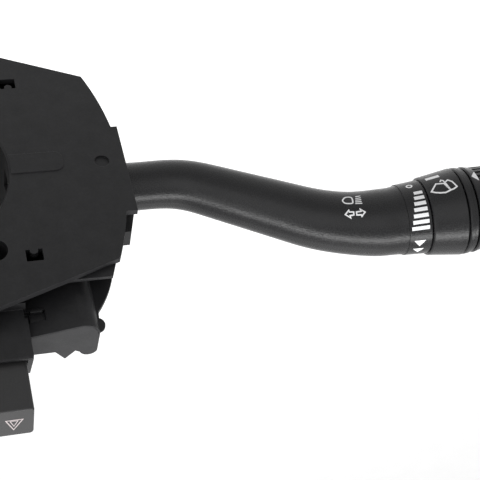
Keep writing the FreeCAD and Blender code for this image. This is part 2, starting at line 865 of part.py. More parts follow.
def housing_fittings(body):
    """Bore tube, screw pillars, snap hooks, pin bosses, latch recess, holes and the connector window."""
    columns = [(f"{side} * screw_x", "screw_z") for side in (-1, 1)]
    pillars = [circle(*column, "pillar_radius") for column in columns]
    add(body, "XZ", "cover_back", "0", circle("0", "0", "tube_radius"), *pillars)
    holes = [circle(*column, "screw_hole_radius") for column in columns]
    cut(body, "XZ", "cover_back", "0", circle("0", "0", "bore_radius"), *holes)
    heads = [circle(*column, "screw_head_radius") for column in columns]
    cut(body, "XZ", "cover_back", "-screw_seat", *heads)
    for x, z, radius, start in (("-pivot_x", "lever_z", "pivot_radius", "shelf_back + side_gap"),
                                ("-pawl_x", "pawl_z", "pawl_pin_radius", "pawl_back + pawl_spring_long")):
        add(body, "XZ", start, "floor_face", circle(x, z, f"{radius} + wall"))
        cut(body, "XZ", start, "floor_face + wall / 2", circle(x, z, radius))
    window = rect("-tube_radius - 1", "-pawl_tip_half - 2", "-bore_radius * 0.9", "pawl_tip_half + 3.5")
    cut(body, "XZ", "pawl_y - 1", "pawl_back + 1", window)
    latch = rect("-latch_x - latch_wide / 2", "latch_z - latch_tall / 2",
                 "-latch_x + latch_wide / 2", "latch_z + latch_tall / 2")
    cut(body, "XZ", "tower_front_y", "front + box_front + box_wall / 2", latch)
    rod = circle("-hazard_x", "cap_mid", "stem_rod_radius + part_gap")
    cut(body, "XY", "tower_floor", "tower_floor_top", rod)
    socket = [("-shroud_x - shroud_wide / 2", "-shroud_a_z - shroud_tall / 2"),
              ("-shroud_x + shroud_wide / 2", "-shroud_b_z + shroud_tall / 2")]
    cut(body, "XZ", "floor_face", "0", frame_loop(socket, "part_gap"))


def hazard_contact_carrier():
    """The grey insert that closes the switch box, with a round cable lobe and a V-shaped latch lug."""
    body = new_body("hazard_contact_carrier")
    lid = [
        ("-box_right - lid_lip - part_gap", "front + box_front + lid_lip / 2 + part_gap"),
        ("-box_right - lid_lip - part_gap", "box_back_y"),
        ("-lug_x + lug_half", "box_back_y"),
        ("-lug_x", "box_back_y + lug_deep"),
        ("-lug_x - lug_half", "box_back_y + lug_notch"),
        ("-lobe_x + lobe_radius", "box_back_y + lobe_radius / 2"),
        ("-lobe_x - lobe_radius", "box_back_y + lobe_radius / 2", "1.04 * lobe_radius"),
        ("-box_left", "front + box_corner + web_thick / 2 + part_gap"),
        ("-box_left + lid_lip + part_gap", "front + box_corner + web_thick / 2 + part_gap"),
        ("-box_left + lid_lip + part_gap", "front + box_corner"),
        ("-box_nose_x", "front + box_nose + lid_lip + part_gap", "box_corner_radius - lid_lip - part_gap"),
    ]
    add(body, "XY", "lid_foot", "box_top", lid)
    plug = rect("-box_left + box_wall + side_gap", "front + box_corner + 2 * box_wall",
                "-box_right - box_wall - side_gap", "box_back_y - box_wall - side_gap")
    add(body, "XY", "pan_left_shoulder_z", "lid_foot", plug)
    keep(body)


def hazard_button():
    """The push cap of the hazard warning switch."""
    body = new_body("hazard_button")
    corners = [("-hazard_x - hazard_wide / 2", "cap_front"), ("-hazard_x + hazard_wide / 2", "cap_back")]
    add(body, "XY", "hazard_skirt", "hazard_top", frame_loop(corners, "0"))
    top = value("hazard_top")
    soften(body, "Fillet", "hazard_round", lambda edge: abs(edge.Vertexes[0].Z - edge.Vertexes[1].Z) > 1)
    soften(body, "Fillet", "hazard_round / 2", lambda edge: all(v.Z > top - 1e-4 for v in edge.Vertexes))
    cut(body, "XY", "hazard_skirt", "hazard_top - hazard_wall", frame_loop(corners, "-hazard_wall"))
    keep(body)

    body = new_body("hazard_stem")
    centre = [("-hazard_x", "cap_mid"), ("-hazard_x", "cap_mid")]
    add(body, "XY", "spring_seat", "hazard_top - hazard_wall", frame_loop(centre, "stem_side / 2"))
    add(body, "XY", "spring_seat", "spring_seat + 2 * hazard_wall",
        frame_loop(corners, "-hazard_wall - part_gap"))
    add(body, "XY", "stem_foot", "spring_seat", circle("-hazard_x", "cap_mid", "stem_rod_radius"))
    keep(body)

    coil("hazard_spring", "stem_side / 2 - wire_radius", "wire_radius", 6, "tower_floor_top", "spring_seat",
         "z", "-hazard_x", "cap_mid")


def hazard_contacts():
    """The brass bridge under the hazard stem and the two strips that it closes."""
    low = "stem_foot - bridge_thick"
    boxes("hazard_bridge_contact", [("-hazard_x - bridge_half", "cap_mid - bridge_thick * 2", low,
                                     "-hazard_x + bridge_half", "cap_mid + bridge_thick * 2", "stem_foot")])
    top = f"{low} - hazard_travel - side_gap"
    back = "floor_face"
    inner = "bridge_half - bridge_thick * 2.5"
    boxes("hazard_fixed_contacts", [
        ("-hazard_x - bridge_half", "cap_mid - bridge_thick * 2", f"{top} - bridge_thick",
         f"-hazard_x - ({inner})", back, top),
        (f"-hazard_x + {inner}", "cap_mid - bridge_thick * 2", f"{top} - bridge_thick",
         "-hazard_x + bridge_half", back, top),
    ])


def turn_yoke():
    """The yoke that turns with the lever about a pin along Y and holds the lever's cross pin."""
    body = new_body("turn_yoke")
    add(body, "XZ", "hub_front_y", "shelf_back", circle("-pivot_x", "lever_z", "hub_radius"))
    outer = "cheek_inner + cheek_thick"
    web = rect("-web_start", f"lever_z - ({outer})", "-pivot_x", f"lever_z + {outer}")
    add(body, "XZ", "lever_y - cheek_half", "lever_y + cheek_half", web)
    cheek = rect("-cheek_reach", "lever_y - cheek_half", "-pivot_x", "lever_y + cheek_half")
    add(body, "XY", "lever_z + cheek_inner", f"lever_z + {outer}", cheek)
    add(body, "XY", f"lever_z - ({outer})", "lever_z - cheek_inner", cheek)
    arm = rect("-pivot_x - arm_half", "lever_y - cheek_half", "-pivot_x + arm_half", "lever_y + cheek_half")
    add(body, "XY", "lever_z - arm_low", "lever_z - cheek_inner", arm)
    shelf = rect("-cross_x + finger_offset - dimmer_half_wide - part_gap",
                 "lever_z - dimmer_half_tall - side_gap - shelf_wall",
                 "-pivot_x", "lever_z + dimmer_half_tall + side_gap + shelf_wall")
    add(body, "XZ", "shelf_face", "shelf_back", shelf)
    for side in (-1, 1):
        near = f"lever_z + {side} * (dimmer_half_tall + side_gap)"
        far = f"lever_z + {side} * (dimmer_half_tall + side_gap + shelf_wall)"
        low, high = (near, far) if side > 0 else (far, near)
        rail = rect("-cross_x + finger_offset - dimmer_half_wide", low, "-pivot_x - hub_radius / 2", high)
        add(body, "XZ", "dimmer_y", "shelf_face", rail)
    add(body, "XZ", "lever_y + cheek_half", "front + slider_back - side_gap",
        circle("-pivot_x", "slider_z", "drive_pin_radius"))
    cut(body, "XZ", "hub_front_y", "shelf_back",
        circle("-pivot_x", "lever_z", "pivot_radius + running_gap"))
    cut(body, "XY", f"lever_z - ({outer})", f"lever_z + {outer}",
        circle("-cross_x", "lever_y", "cross_radius"))
    cut(body, "XY", "lever_z - arm_low", "lever_z - plunger_bore_top",
        circle("-pivot_x", "lever_y", "plunger_radius + running_gap"))
    keep(body)
    pin("pivot_pin", "pivot_radius", "cover_back", "floor_face + wall / 2", "y", x="-pivot_x", z="lever_z")
    pin("cross_pin", "cross_radius", f"lever_z - ({outer})", f"lever_z + {outer}", "z",
        x="-cross_x", y="lever_y")


def detent():
    """Plunger and spring in the yoke's arm, and the notched track under them."""
    body = new_body("detent_plunger")
    profile = [
        ("0", "-plunger_tip"),
        ("plunger_radius", "-plunger_tip + plunger_radius", "1.01 * plunger_radius"),
        ("plunger_radius", "-plunger_back"),
        ("plunger_bore", "-plunger_back"),
        ("plunger_bore", "-plunger_back - plunger_hollow"),
        ("0", "-plunger_back - plunger_hollow"),
    ]
    spin(body, profile)
    tie(body, "Placement.Base.x", "-pivot_x")
    tie(body, "Placement.Base.y", "lever_y")
    tie(body, "Placement.Base.z", "lever_z")
    keep(body)
    coil("detent_spring", "plunger_bore - 1.5 * wire_radius", "wire_radius", 7,
         "lever_z - plunger_back - plunger_hollow", "lever_z - plunger_bore_top",
         "z", "-pivot_x", "lever_y")

    body = new_body("detent_track")
    block = rect("-pivot_x - track_half", "lever_z - track_radius - track_thick",
                 "-pivot_x + track_half", "lever_z - track_radius + notch_radius")
    add(body, "XZ", "lever_y - track_half / 2", "carrier_face", block)
    cut(body, "XZ", "lever_y - track_half / 2", "carrier_face",
        circle("-pivot_x", "lever_z", "track_radius"))
    for turn in (-1, 0, 1):
        swing = f"{turn} * turn_angle * 1deg"
        notch = circle(f"-pivot_x + track_radius * sin({swing})", f"lever_z - track_radius * cos({swing})",
                       "notch_radius")
        cut(body, "XZ", "lever_y - plunger_radius", "lever_y + plunger_radius", notch)
    keep(body)


def turn_contacts():
    """The slider that the yoke's pin drives, its brass springs, and the fixed strips it wipes."""
    body = new_body("turn_slider")
    block = rect("-pivot_x - slider_half_wide", "slider_z - slider_half_tall",
                 "-pivot_x + slider_half_wide", "slider_z + slider_half_tall")
    add(body, "XZ", "front + slider_front", "front + slider_back", block)
    slot = rect("-pivot_x - drive_pin_radius - running_gap", "slider_z - 2 * drive_pin_radius",
                "-pivot_x + drive_pin_radius + running_gap", "slider_z + 2 * drive_pin_radius")
    cut(body, "XZ", "front + slider_front", "front + slider_back", slot)
    keep(body)

    body = new_body("turn_slider_contact")
    leaf = rect("-pivot_x - contact_pitch", "slider_z + 2 * drive_pin_radius + part_gap",
                "-pivot_x + contact_pitch", "slider_z + slider_half_tall")
    add(body, "XZ", "front + slider_back", "front + slider_back + contact_thick", leaf)
    studs = [circle(f"-pivot_x + {side} * contact_pitch / 2",
                    "slider_z + (2 * drive_pin_radius + slider_half_tall) / 2", "contact_wide / 2")
             for side in (-1, 1)]
    add(body, "XZ", "front + slider_back + contact_thick", "contact_face - side_gap", *studs)
    keep(body)
    strips = []
    for place in (-1.5, -0.5, 0.5, 1.5):
        middle = f"-pivot_x + {place} * contact_pitch"
        strips.append((f"{middle} - contact_wide / 2", "contact_face", "slider_z - slider_half_tall",
                       f"{middle} + contact_wide / 2", "carrier_face", "slider_z + slider_half_tall"))
    boxes("turn_fixed_contacts", strips)


def terminal_carrier():
    """The grey carrier inside the rear floor, with slider rails and two plug shrouds through the floor."""
    body = new_body("terminal_carrier")
    plate = [
        ("-carrier_left", "-pan_left_low + wall"),
        ("-pan_low_shoulder_x - wall", "-carrier_low"),
        ("-carrier_right", "-carrier_low"),
        ("-carrier_right", "carrier_top"),
        ("-carrier_left", "carrier_top"),
    ]
    add(body, "XZ", "carrier_face", "floor_face", plate)
    half = "shroud_wide / 2"
    block = rect(f"-shroud_x - {half}", "-shroud_a_z - shroud_tall / 2",
                 f"-shroud_x + {half}", "-shroud_b_z + shroud_tall / 2")
    add(body, "XZ", "floor_face", "shroud_reach", block)
    for side in (-1, 1):
        near = f"slider_z + {side} * rail_gap"
        far = f"slider_z + {side} * (rail_gap + rail_thick)"
        low, high = (near, far) if side > 0 else (far, near)
        add(body, "XZ", "front + slider_front + rail_thick", "carrier_face",
            rect("-carrier_left + rail_thick", low, "-carrier_right - rail_thick", high))
    cut(body, "XZ", "carrier_face", "floor_face",
        circle("-pivot_x", "lever_z", "pivot_radius + wall + side_gap"))
    for level in ("-shroud_a_z", "-shroud_b_z"):
        room = [(f"-shroud_x - {half}", f"{level} - shroud_tall / 2"),
                (f"-shroud_x + {half}", f"{level} + shroud_tall / 2")]
        cut(body, "XZ", "0", "shroud_reach", frame_loop(room, "-shroud_wall"))
    middle = [(f"-shroud_x - {half}", "-shroud_a_z + shroud_tall / 2 + side_gap"),
              (f"-shroud_x + {half}", "-shroud_b_z - shroud_tall / 2 - side_gap")]
    cut(body, "XZ", "shroud_wall", "shroud_reach", frame_loop(middle, "0"))
    for name, level, places in (("blade_terminals_a", "-shroud_a_z", (-1, 0, 1)),
                                ("blade_terminals_b", "-shroud_b_z", (-0.5, 0.5))):
        blades = []
        for place in places:
            low_x = f"-shroud_x + {place} * blade_pitch - blade_wide / 2"
            high_x = f"-shroud_x + {place} * blade_pitch + blade_wide / 2"
            low_z = f"{level} - blade_thick / 2"
            high_z = f"{level} + blade_thick / 2"
            cut(body, "XZ", "carrier_face", "0", rect(low_x, low_z, high_x, high_z))
            blades.append((low_x, "carrier_face", low_z, high_x, "blade_reach", high_z))
        boxes(name, blades)
    keep(body)


def cancel_pawl():
    """The pawl that a cam on the column trips to return the lever. At rest it lies behind the bore."""
    body = new_body("cancel_pawl")
    outline = [
        ("-pawl_x - pawl_hub_radius * 0.7", "pawl_z"),
        ("-pawl_x - pawl_arm_in", "pawl_tip_half"),
        ("-pawl_x - pawl_arm_in", "-pawl_tip_half"),
        ("-bore_radius - pawl_flush", "-pawl_tip_half"),
        ("-bore_radius - pawl_flush", "pawl_tip_half"),
        ("-pawl_x + pawl_hub_radius", "pawl_tip_half + tube_wall"),
        ("-pawl_x + pawl_hub_radius", "pawl_z"),
    ]
    add(body, "XZ", "pawl_y", "pawl_back", outline)
    add(body, "XZ", "pawl_y", "pawl_back", circle("-pawl_x", "pawl_z", "pawl_hub_radius"))
    cut(body, "XZ", "pawl_y", "pawl_back", circle("-pawl_x", "pawl_z", "pawl_pin_radius + running_gap"))
    keep(body)
    pin("pawl_pin", "pawl_pin_radius", "pawl_y - wall", "floor_face + wall / 2", "y",
        x="-pawl_x", z="pawl_z")
    coil("pawl_spring", "pawl_pin_radius + 2 * wire_radius", "wire_radius", 3,
         "pawl_back + side_gap / 2", "pawl_back + pawl_spring_long - side_gap / 2",
         "y", "-pawl_x", "0", "pawl_z")


def lever_root():
    """The moulded root inside the neck, with the flat tang that swings on the cross pin."""
    body = new_body("lever_root")
    centre = [("lever_y", "lever_z"), ("lever_y", "lever_z")]
    (low_y, low_z), (high_y, high_z) = (("lever_y - tang_deep_half", "lever_z - tang_half"),
                                        ("lever_y + tang_deep_half", "lever_z + tang_half"))
    add(body, "YZ", "-neck_start", "-tang_end", rect(low_y, low_z, high_y, high_z))
    add(body, "YZ", "-neck_start", "-neck_start + tang_flange",
        circle(*centre[0], "neck_radius - side_gap"))
    add(body, "YZ", "-neck_start - root_run", "-neck_start",
        circle(*centre[0], "neck_radius - lever_wall - root_gap"))
    add(body, "XZ", "lever_y + tang_deep_half", "lever_y + finger_reach",
        circle("-cross_x + finger_offset", "lever_z", "finger_radius"))
    cut(body, "XY", "lever_z - tang_half", "lever_z + tang_half",
        circle("-cross_x", "lever_y", "cross_radius + running_gap"))
    cut(body, "YZ", "-neck_start - root_run", "-neck_start", circle(*centre[0], "loom_radius + side_gap"))
    keep(body)


def section_radius(distance):
    """The radius of the lever at a distance along it, as an expression."""
    swell = value("neck_run")
    elbow = LEVER_LENGTH - value("swell_run")
    if distance <= swell:
        return "neck_radius"
    if distance <= elbow:
        share = round((distance - swell) / (elbow - swell), 4)
        return f"neck_radius + (elbow_radius - neck_radius) * {share}"
    share = round((distance - elbow) / (LEVER_LENGTH - elbow), 4)
    return f"elbow_radius + (collar_radius - elbow_radius) * {share}"


def lever_loft(name, inset):
    sections = []
    for index in range(LEVER_SECTIONS + 1):
        distance = LEVER_LENGTH * index / LEVER_SECTIONS
        point, direction = station(distance)
        ring = doc.addObject("Part::Circle", f"{name}_section")
        tie(ring, "Radius", f"{section_radius(distance)} - ({inset})")
        ring.Placement = Placement(point, facing(direction))
        sections.append(ring)
    loft = doc.addObject("Part::Loft", name)
    loft.Sections = sections
    loft.Solid = True
    return loft


def lever_tube():
    """The hollow lever: straight neck, bend up, rise, and the swept bend back to the knob."""
    tube = doc.addObject("Part::Cut", "lever_tube")
    tube.Base = lever_loft("lever_outside", "0")
    tube.Tool = lever_loft("lever_inside", "lever_wall")
    tube.Label = "lever_tube"
    doc.recompute()
    keep(tube)

    start = value("loom_start")
    stop = LEVER_LENGTH - value("spindle_seat") - value("side_gap")
    edges = []
    begun = 0
    for kind, length, *_ in LEVER_COURSE:
        first = max(begun, start)
        last = min(begun + length, stop)
        begun += length
        if last <= first:
            continue
        ends = [station(place)[0] for place in (first, (first + last) / 2, last)]
        line = Part.LineSegment(ends[0], ends[2]) if kind == "straight" else Part.Arc(*ends)
        edges.append(line.toShape())
    wire = Part.Wire(edges)
    point, direction = station(start)
    round_end = Part.Wire(Part.makeCircle(value("loom_radius"), point, direction))
    loom = doc.addObject("Part::Feature", "lever_loom")
    loom.Label = "lever_loom"
    loom.Shape = wire.makePipeShell([round_end], True, True)
    keep(loom)


def knob_body(name, *profiles):
    """A turned piece of the knob, modelled about its own Z axis and placed on the lever's end."""
    body = new_body(name)
    spin(body, *profiles)
    body.Placement = KNOB_FRAME
    keep(body)
    return body


def knob_core():
    """Spindle, contact board, scale collar and spacer band, which stay still on the lever."""
    knob_body("knob_spindle", [
        ("spindle_bore", "-spindle_seat"),
        ("seat_radius", "-spindle_seat"),
        ("seat_radius", "-board_thick"),
        ("spindle_radius", "-board_thick"),
        ("spindle_radius", "spindle_stop"),
        ("spring_well", "spindle_stop"),
        ("spring_well", "spindle_stop - washer_travel - 2 * side_gap"),
        ("spindle_bore", "spindle_stop - washer_travel - 2 * side_gap"),
    ])
    knob_body("wiper_contact_board", rect("spindle_radius + part_gap", "-board_thick", "seat_radius", "0"))
    knob_body("scale_collar", [
        ("collar_bore", "0"),
        ("collar_radius + collar_lip", "0"),
        ("collar_end_radius", "collar_long"),
        ("hub_outer + side_gap", "collar_long"),
        ("hub_outer + side_gap", "collar_long - detent_deep"),
        ("collar_bore", "collar_long - detent_deep"),
    ])
    collar = PIECES[-1]
    cut(collar, "XY", "collar_long - detent_deep + hub_wall / 4", "collar_long",
        circle("0", "detent_x", "ball_radius + running_gap"))
    knob_body("spacer_band", [
        ("spindle_radius", "band_start"),
        ("band_radius - edge_break", "band_start"),
        ("band_radius", "band_start + edge_break"),
        ("band_radius", "(band_start + band_stop) / 2"),
        ("band_radius - band_step", "(band_start + band_stop) / 2"),
        ("band_radius - band_step", "band_stop - edge_break"),
        ("band_radius - band_step - edge_break", "band_stop"),
        ("spindle_radius", "band_stop"),
    ])
    ball = doc.addObject("Part::Sphere", "ring_detent_ball")
    ball.Label = "ring_detent_ball"
    tie(ball, "Radius", "ball_radius")
    place = Placement(Vector(0, value("detent_x"), value("ball_z")), Rotation())
    ball.Placement = KNOB_FRAME.multiply(place)
    doc.recompute()
    keep(ball)
    spring = coil("ring_detent_spring", "ball_radius - 2 * thin_wire_radius", "thin_wire_radius", 3,
                  "collar_long - detent_deep + hub_wall / 4", "ball_z - ball_radius * 0.75", "z")
    place = Placement(Vector(0, value("detent_x"), spring.Placement.Base.z), Rotation())
    hang_on_knob(spring, place)


def hang_on_knob(piece, place):
    for letter in "xyz":
        piece.setExpression(f"Placement.Base.{letter}", None)
    piece.Placement = KNOB_FRAME.multiply(place)


def wiper_ring():
    """The turning ring of the wiper switch, and the rotor on its hub that carries the wiper contacts."""
    knob_body("wiper_ring", [
        ("hub_outer + part_gap", "ring_start"),
        ("ring_start_radius - edge_break", "ring_start"),
        ("ring_start_radius", "ring_start + edge_break"),
        ("ring_end_radius", "ring_stop - edge_break"),
        ("ring_end_radius - edge_break", "ring_stop"),
        ("ring_end_radius - ring_wall", "ring_stop"),
        ("ring_start_radius - ring_wall", "ring_start + 2 * ring_wall"),
        ("hub_outer + part_gap", "ring_start + 2 * ring_wall"),
    ])
    spin_out(PIECES[-1], circle("detent_x", "ball_z", "ball_radius + side_gap"))
    knob_body("ring_rotor", [
        ("hub_bore", "rotor_gap"),
        ("collar_bore - side_gap", "rotor_gap"),
        ("collar_bore - side_gap", "rotor_gap + rotor_thick"),
        ("hub_outer", "rotor_gap + rotor_thick"),
        ("hub_outer", "ring_start + 2 * ring_wall"),
        ("hub_bore", "ring_start + 2 * ring_wall"),
    ])


def end_knob():
    """The ribbed knob at the tip."""
    knob = knob_body("end_knob", [
        ("hub_bore", "knob_start"),
        ("knob_start_radius - edge_break", "knob_start"),
        ("knob_start_radius", "knob_start + edge_break"),
        ("knob_grip_radius", "knob_start + rib_start"),
        ("knob_end_radius", "knob_stop - knob_round"),
        ("knob_end_radius - knob_round", "knob_stop", "1.01 * knob_round"),
        ("washer_radius + side_gap", "knob_stop"),
        ("washer_radius + side_gap", "knob_stop - knob_wall"),
        ("knob_end_radius - knob_wall", "knob_stop - knob_wall"),
        ("knob_end_radius - knob_wall", "knob_start + knob_wall"),
        ("hub_bore", "knob_start + knob_wall"),
    ])
    before = knob.Shape.Volume
    groove = new_sketch(knob, "XY", "knob_start + rib_start", [
        circle("knob_end_radius + rib_radius - rib_depth", "0", "rib_radius")])
    pocket = knob.newObject("PartDesign::Pocket", "end_knob_groove")
    pocket.Profile = groove
    pocket.Reversed = True
    tie(pocket, "Length", "knob_long - rib_start - rib_stop")
    pattern = knob.newObject("PartDesign::PolarPattern", "end_knob_grooves")
    pattern.Originals = [pocket]
    pattern.Axis = (groove, ["N_Axis"])
    pattern.Angle = 360
    tie(pattern, "Occurrences", "rib_count")
    knob.Tip = pattern
    doc.recompute()
    if knob.Shape.Volume >= before:
        raise ValueError(f"the knob has no grooves: {groove.State} {pocket.State} {pattern.State}")


def washer_button():
    """The push button in the tip, with its rod inside the spindle and its return spring."""
    knob_body("washer_button", [
        ("0", "washer_rod_start"),
        ("washer_rod_radius", "washer_rod_start"),
        ("washer_rod_radius", "knob_stop + washer_proud - washer_long"),
        ("washer_radius", "knob_stop + washer_proud - washer_long"),
        ("washer_radius", "knob_stop + washer_proud - edge_break"),
        ("washer_radius - edge_break", "knob_stop + washer_proud", "1.01 * edge_break"),
        ("0", "knob_stop + washer_proud - edge_break", "-4 * washer_radius"),
    ])
    spring = coil("washer_spring", "washer_rod_radius + 2 * wire_radius", "wire_radius", 5,
                  "spindle_stop - 2 * side_gap", "knob_stop + washer_proud - washer_long", "z")
    hang_on_knob(spring, Placement(Vector(0, 0, spring.Placement.Base.z), Rotation()))


def dimmer():
    """The small slider behind the lever root that switches the beam when the lever is pulled."""
    body = new_body("dimmer_slider")
    x = "-cross_x + finger_offset"
    block = rect(f"{x} - dimmer_half_wide", "lever_z - dimmer_half_tall",
                 f"{x} + dimmer_half_wide", "lever_z + dimmer_half_tall")
    add(body, "XZ", "dimmer_y", "dimmer_back", block)
    cut(body, "XZ", "dimmer_y", "dimmer_back", circle(x, "lever_z", "finger_radius + side_gap"))
    keep(body)
    body = new_body("dimmer_contact")
    plate = rect(f"{x} - dimmer_half_wide + part_gap", "lever_z - dimmer_half_tall + contact_thick",
                 f"{x} + dimmer_half_wide - part_gap", "lever_z + dimmer_half_tall - contact_thick")
    add(body, "XZ", "dimmer_y - contact_thick / 2", "dimmer_y", plate)
    cut(body, "XZ", "dimmer_y - contact_thick / 2", "dimmer_y",
        circle(x, "lever_z", "finger_radius + 2 * side_gap"))
    keep(body)


front_cover()
rear_housing()
hazard_contact_carrier()
hazard_button()
hazard_contacts()
turn_yoke()
detent()
turn_contacts()
terminal_carrier()
cancel_pawl()
lever_root()
lever_tube()
knob_core()
wiper_ring()
end_knob()
washer_button()
dimmer()

doc.recompute()
for item in doc.Objects:
    if "Invalid" in item.State or "Error" in item.State:
        raise ValueError(f"{item.Label} failed: {item.State}")
for item in PIECES:
    if item.Shape.isNull() or not item.Shape.isValid():
        raise ValueError(f"{item.Label} has no valid shape")
os.makedirs("parts", exist_ok=True)
for item in PIECES:
    item.Shape.exportStep(f"parts/{item.Label}.step")
print(len(PIECES), "pieces; lever", round(LEVER_LENGTH, 2), "mm long, knob from", KNOB_ORIGIN)
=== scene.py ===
"""Looks for the combination stalk switch: materials, printed signs, small trim, springs and the studio."""
import json
import math

import bpy
import bmesh
from mathutils import Matrix, Vector
from mathutils.bvhtree import BVHTree


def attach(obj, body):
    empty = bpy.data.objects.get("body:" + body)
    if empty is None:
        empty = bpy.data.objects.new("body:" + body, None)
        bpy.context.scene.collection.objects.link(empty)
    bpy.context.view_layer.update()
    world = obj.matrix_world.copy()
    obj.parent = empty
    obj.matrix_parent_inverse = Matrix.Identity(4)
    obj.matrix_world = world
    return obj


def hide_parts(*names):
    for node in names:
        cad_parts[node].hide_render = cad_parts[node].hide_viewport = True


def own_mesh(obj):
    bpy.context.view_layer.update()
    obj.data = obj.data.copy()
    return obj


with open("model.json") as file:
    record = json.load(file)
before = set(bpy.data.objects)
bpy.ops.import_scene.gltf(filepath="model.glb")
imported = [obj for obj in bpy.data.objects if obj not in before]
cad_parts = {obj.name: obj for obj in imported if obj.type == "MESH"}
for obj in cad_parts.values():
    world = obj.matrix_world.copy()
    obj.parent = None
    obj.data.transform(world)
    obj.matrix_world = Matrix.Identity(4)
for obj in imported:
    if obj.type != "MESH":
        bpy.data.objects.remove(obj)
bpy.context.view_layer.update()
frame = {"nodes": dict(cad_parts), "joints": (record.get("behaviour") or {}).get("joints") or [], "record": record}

NODES = frame["nodes"]
JOINTS = {joint["name"]: joint for joint in frame["joints"]}
MM = 0.001


# Nodes that the materials share

FIELD_LOW, FIELD_HIGH = 0.3, 0.7  # most of a noise field lies between these
EDGE_SHARP, EDGE_FLAT = 0.75, 0.98  # how far true and rounded normals agree on a sharp edge and beside it


def new_material(name):
    material = bpy.data.materials.new(name)
    material.use_nodes = True
    nodes = material.node_tree.nodes
    nodes.clear()
    output = nodes.new("ShaderNodeOutputMaterial")
    shader = nodes.new("ShaderNodeBsdfPrincipled")
    material.node_tree.links.new(shader.outputs["BSDF"], output.inputs["Surface"])
    return material, nodes, material.node_tree.links, shader


def noise(nodes, links, scale, detail, rough=0.5):
    where = nodes.new("ShaderNodeTexCoord")
    field = nodes.new("ShaderNodeTexNoise")
    field.inputs["Scale"].default_value = scale
    field.inputs["Detail"].default_value = detail
    field.inputs["Roughness"].default_value = rough
    links.new(where.outputs["Object"], field.inputs["Vector"])
    return field.outputs["Fac"]


def spread(nodes, links, source, low, high, start=FIELD_LOW, stop=FIELD_HIGH):
    """Map the part of a field between start and stop onto the range from low to high."""
    node = nodes.new("ShaderNodeMapRange")
    node.inputs["From Min"].default_value = start
    node.inputs["From Max"].default_value = stop
    node.inputs["To Min"].default_value = low
    node.inputs["To Max"].default_value = high
    links.new(source, node.inputs["Value"])
    return node.outputs["Result"]


def mixed(nodes, links, share, first, second):
    """A colour between two colours; the first may be plain or the output of another node."""
    node = nodes.new("ShaderNodeMix")
    node.data_type = "RGBA"
    if isinstance(first, tuple):
        node.inputs["A"].default_value = (*first, 1)
    else:
        links.new(first, node.inputs["A"])
    node.inputs["B"].default_value = (*second, 1)
    links.new(share, node.inputs["Factor"])
    return node.outputs["Result"]


def calculated(nodes, links, operation, *values):
    node = nodes.new("ShaderNodeMath")
    node.operation = operation
    for socket, item in zip(node.inputs, values):
        if isinstance(item, (int, float)):
            socket.default_value = item
        else:
            links.new(item, socket)
    return node.outputs["Value"]


def edge_share(nodes, links, rounded):
    """How much of an edge a point lies on: 0 on a flat face, 1 on a sharp edge."""
    plain = nodes.new("ShaderNodeNewGeometry")
    turned = nodes.new("ShaderNodeVectorMath")
    turned.operation = "DOT_PRODUCT"
    links.new(plain.outputs["Normal"], turned.inputs[0])
    links.new(rounded, turned.inputs[1])
    return spread(nodes, links, turned.outputs["Value"], 1, 0, EDGE_SHARP, EDGE_FLAT)


def relief(nodes, links, shader, field, strength, depth_mm, under=None):
    """Raise a field as fine relief, over another normal where one is given."""
    bump = nodes.new("ShaderNodeBump")
    bump.inputs["Strength"].default_value = strength
    bump.inputs["Distance"].default_value = depth_mm * MM
    links.new(field, bump.inputs["Height"])
    if under is not None:
        links.new(under, bump.inputs["Normal"])
    links.new(bump.outputs["Normal"], shader.inputs["Normal"])


# Plastic, metal and ink

BORE_WALL, BORE_RIM = 30.15, 30.3  # radii in mm between which the painted shade and the dull finish inside the bore fade out
# painted shade: the inside of the column bore is coloured near black
BORE_SHADE_COLOUR = (0.004, 0.004, 0.0043)
BORE_ROUGHNESS = 0.95
BEVEL_SAMPLES = 6
GRAIN_DEPTH_MM = 0.06
SPECKS_PER_GRAIN = 0.35
SPECK_TONE, BLOTCH_TONE = 0.45, 0.55  # their parts in the way from the dark to the light tone
RUB_HIGHLIGHT_GAIN, RUB_HIGHLIGHT_LIFT = 2.2, 0.01  # an edge, pale from slight wear and from painted highlight, is this much paler than the light tone
RUB_HIGHLIGHT_LEAST = 0.2


def bore_shade_and_dull_share(nodes, links):
    """1 on the inside of the column bore, where it gets painted shade and a dull finish, 0 from its rim outwards.
    """
    where = nodes.new("ShaderNodeTexCoord")
    apart = nodes.new("ShaderNodeSeparateXYZ")
    links.new(where.outputs["Object"], apart.inputs["Vector"])
    across, upward = apart.outputs["X"], apart.outputs["Z"]
    squares = calculated(nodes, links, "ADD", calculated(nodes, links, "MULTIPLY", across, across),
                         calculated(nodes, links, "MULTIPLY", upward, upward))
    radius = calculated(nodes, links, "SQRT", squares)
    return spread(nodes, links, radius, 1, 0, BORE_WALL * MM, BORE_RIM * MM)


